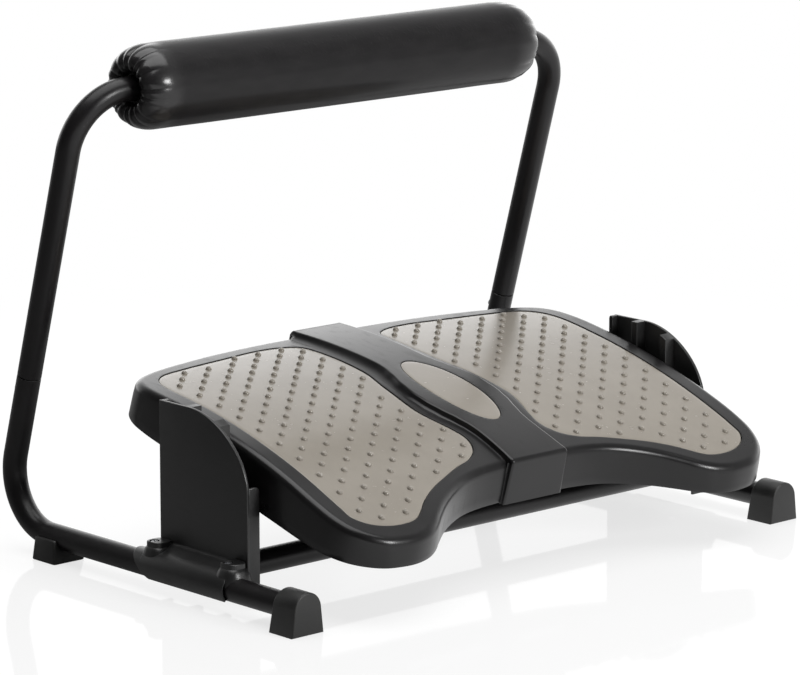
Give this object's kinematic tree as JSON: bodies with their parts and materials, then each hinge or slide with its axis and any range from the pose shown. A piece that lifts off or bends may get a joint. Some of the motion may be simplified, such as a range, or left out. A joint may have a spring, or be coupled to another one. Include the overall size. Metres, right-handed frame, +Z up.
{
  "type": "tilting under desk footrest",
  "caption": "Under desk footrest: a bent tube frame with a padded roller bar, and a curved tread with massage nubs that rocks on an axle seated in open topped side brackets.",
  "frame": {"origin": "on the floor, under the middle of the whole footrest", "axes": "+X to the right of the user who faces the roller, +Y away from the user towards the roller, +Z up"},
  "size_m": [0.563, 0.4052, 0.4211],
  "materials": {
    "tube_paint": "satin powder coat",
    "moulded_black": "fine satin moulding",
    "foot_rubber": "matt",
    "roller_vinyl": "glossy soft vinyl",
    "roller_foam": "open cell foam",
    "cord": "woven cord",
    "pad_grey": "fine satin moulding",
    "zinc_steel": "zinc plated"
  },
  "bodies": {
    "frame": {"right_base_tube": "tube_paint", "left_base_tube": "tube_paint", "right_side_bracket": "moulded_black", "left_side_bracket": "moulded_black", "right_front_foot": "foot_rubber", "left_front_foot": "foot_rubber", "right_rear_foot": "foot_rubber", "left_rear_foot": "foot_rubber", "right_front_bracket_screw": "zinc_steel", "left_front_bracket_screw": "zinc_steel", "right_rear_bracket_screw": "zinc_steel", "left_rear_bracket_screw": "zinc_steel", "right_foot_screw": "zinc_steel", "left_foot_screw": "zinc_steel", "right_cross_tube_screw": "zinc_steel", "left_cross_tube_screw": "zinc_steel", "right_coupler": "zinc_steel", "left_coupler": "zinc_steel", "right_coupler_screw": "zinc_steel", "left_coupler_screw": "zinc_steel", "cross_tube": "tube_paint", "upper_bar": "tube_paint"},
    "roller": {"roller_cover": "roller_vinyl", "roller_foam": "roller_foam", "right_draw_cord": "cord", "left_draw_cord": "cord"},
    "axle": {"axle_rod": "zinc_steel", "right_trunnion": "moulded_black", "left_trunnion": "moulded_black", "right_axle_screw": "zinc_steel", "left_axle_screw": "zinc_steel"},
    "tread": {"right_tread_half": "moulded_black", "left_tread_half": "moulded_black", "right_foot_pad": "pad_grey", "left_foot_pad": "pad_grey", "right_front_clamp_screw": "zinc_steel", "left_front_clamp_screw": "zinc_steel", "right_rear_clamp_screw": "zinc_steel", "left_rear_clamp_screw": "zinc_steel", "centre_bridge": "moulded_black", "oval_inlay": "pad_grey", "front_clamp_plate": "zinc_steel", "rear_clamp_plate": "zinc_steel"}
  },
  "joints": [
    {"name": "roller_spin", "type": "hinge", "parent": "frame", "child": "roller", "pos_m": [0, 0.101, 0.38616], "axis": [1, 0, 0], "continuous": true},
    {"name": "tread_lift", "type": "slide", "parent": "frame", "child": "axle", "axis": [0, 0, 1], "range_m": [0, 0.066]},
    {"name": "tread_tilt", "type": "hinge", "parent": "axle", "child": "tread", "pos_m": [0, -0.03557, 0.10186], "axis": [1, 0, 0], "range_deg": [-30, 13]}
  ]
}
